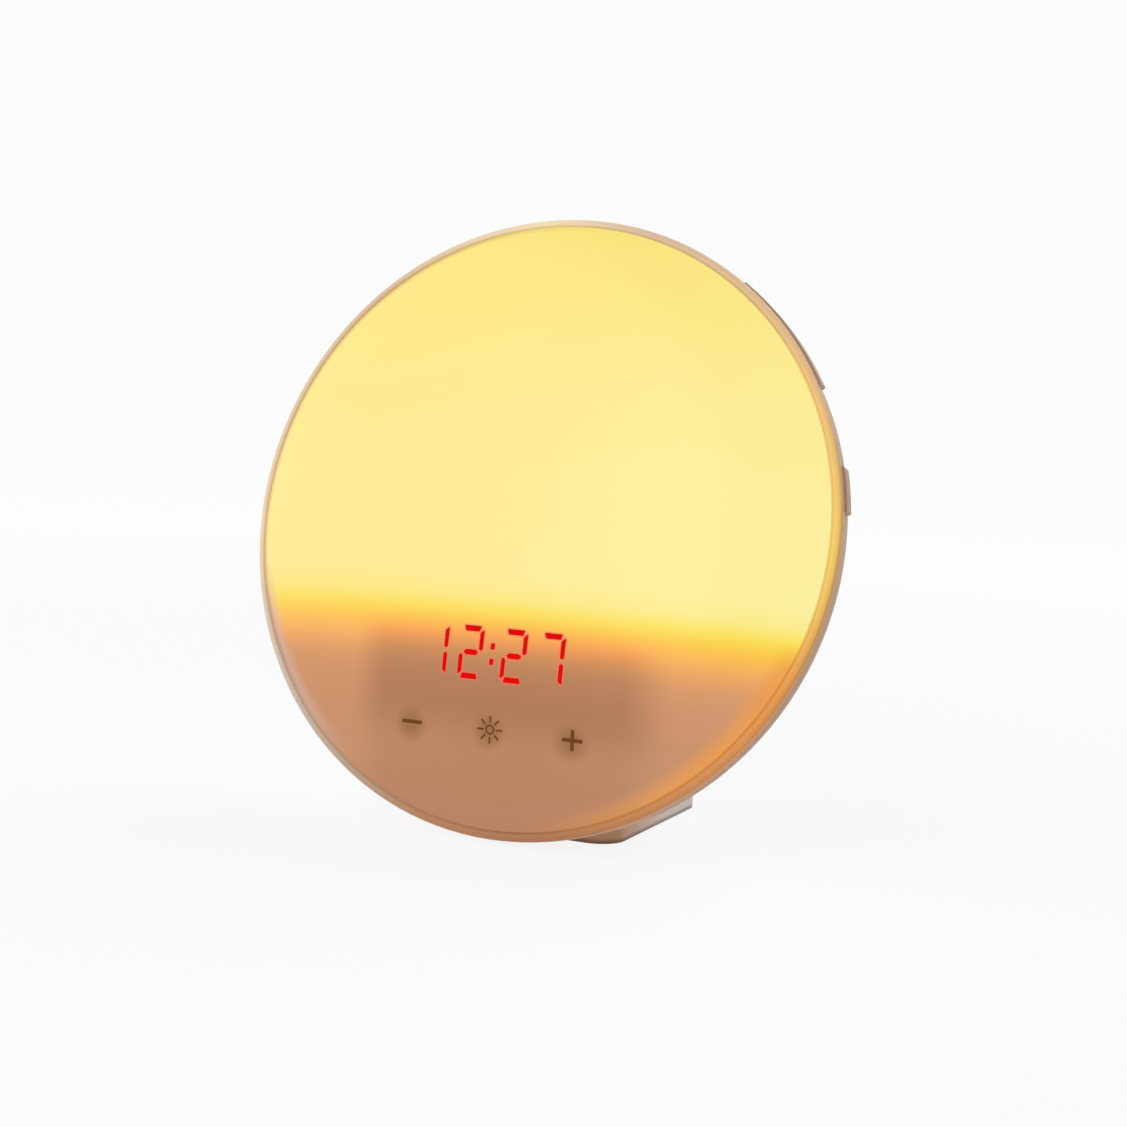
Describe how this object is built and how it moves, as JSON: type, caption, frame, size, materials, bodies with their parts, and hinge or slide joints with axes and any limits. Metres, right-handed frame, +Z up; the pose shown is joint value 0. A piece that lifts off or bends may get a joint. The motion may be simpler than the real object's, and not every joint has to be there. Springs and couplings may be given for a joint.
{
  "type": "sunrise alarm clock",
  "caption": "Round sunrise alarm clock: a glowing domed face with digits and touch symbols, rim keys, and a bowl-shaped body with speaker and power inlet on a flat foot.",
  "frame": {"origin": "bottom centre of the whole box, on the surface the rubber pads stand on", "axes": "+Z up, the face looks to -Y and leans back, +X is the side of the rim keys"},
  "size_m": [0.168, 0.0866, 0.1656],
  "materials": {
    "milky_diffuser": "glossy, milky, lit from behind",
    "bezel_white": "glossy",
    "shell_white": "satin",
    "key_white": "satin",
    "cover_grey": "fine texture",
    "pad_rubber": "matt",
    "reflector_white": "matt",
    "board_white": "satin",
    "board_green": "satin",
    "lamp_yellow": "glossy",
    "module_grey": "matt",
    "digit_red": "lit",
    "contact_metal": "plated",
    "ribbon_film": "satin",
    "wire_red": "satin",
    "wire_black": "satin",
    "chip_black": "matt",
    "capacitor_blue": "glossy",
    "connector_cream": "satin",
    "speaker_black": "satin",
    "magnet_steel": "plated",
    "cone_paper": "matt",
    "screw_steel": "plated"
  },
  "bodies": {
    "clock": {"front_diffuser": "milky_diffuser", "bezel_ring": "bezel_white", "rear_housing": "shell_white", "base_cover": "cover_grey", "foot_pads": "pad_rubber", "light_chassis": "reflector_white", "light_divider": "reflector_white", "led_board": "board_white", "led_emitters": "lamp_yellow", "display_board": "board_green", "display_module": "module_grey", "lit_segments": "digit_red", "touch_springs": "contact_metal", "display_ribbon": "ribbon_film", "led_leads": "wire_red", "key_leads": "wire_black", "speaker_leads": "wire_red", "main_board": "board_green", "board_chips": "chip_black", "board_capacitors": "capacitor_blue", "board_connectors": "connector_cream", "power_inlet": "chip_black", "inlet_pin": "contact_metal", "speaker_frame": "speaker_black", "speaker_magnet": "magnet_steel", "speaker_surround": "pad_rubber", "speaker_gasket": "pad_rubber", "key_boards": "board_green", "key_switches": "chip_black", "case_screws": "screw_steel", "board_screws": "screw_steel", "speaker_screws": "screw_steel", "base_screws": "screw_steel"},
    "snooze": {"snooze_key": "key_white", "snooze_plungers": "reflector_white"},
    "set": {"set_key": "key_white", "set_plunger": "reflector_white"},
    "cone": {"speaker_cone": "cone_paper"}
  },
  "joints": [
    {"name": "snooze_press", "type": "slide", "parent": "clock", "child": "snooze", "axis": [-0.7461, -0.1384, -0.6513], "range_m": [0, 0.0006], "stiffness_N_per_m": 1500, "springref_m": -0.0003},
    {"name": "set_press", "type": "slide", "parent": "clock", "child": "set", "axis": [-0.984, -0.037, -0.1741], "range_m": [0, 0.0006], "stiffness_N_per_m": 1500, "springref_m": -0.0003},
    {"name": "cone_swing", "type": "slide", "parent": "clock", "child": "cone", "axis": [0, -0.9781, 0.2079], "range_m": [-0.0006, 0.0006], "stiffness_N_per_m": 1500}
  ]
}
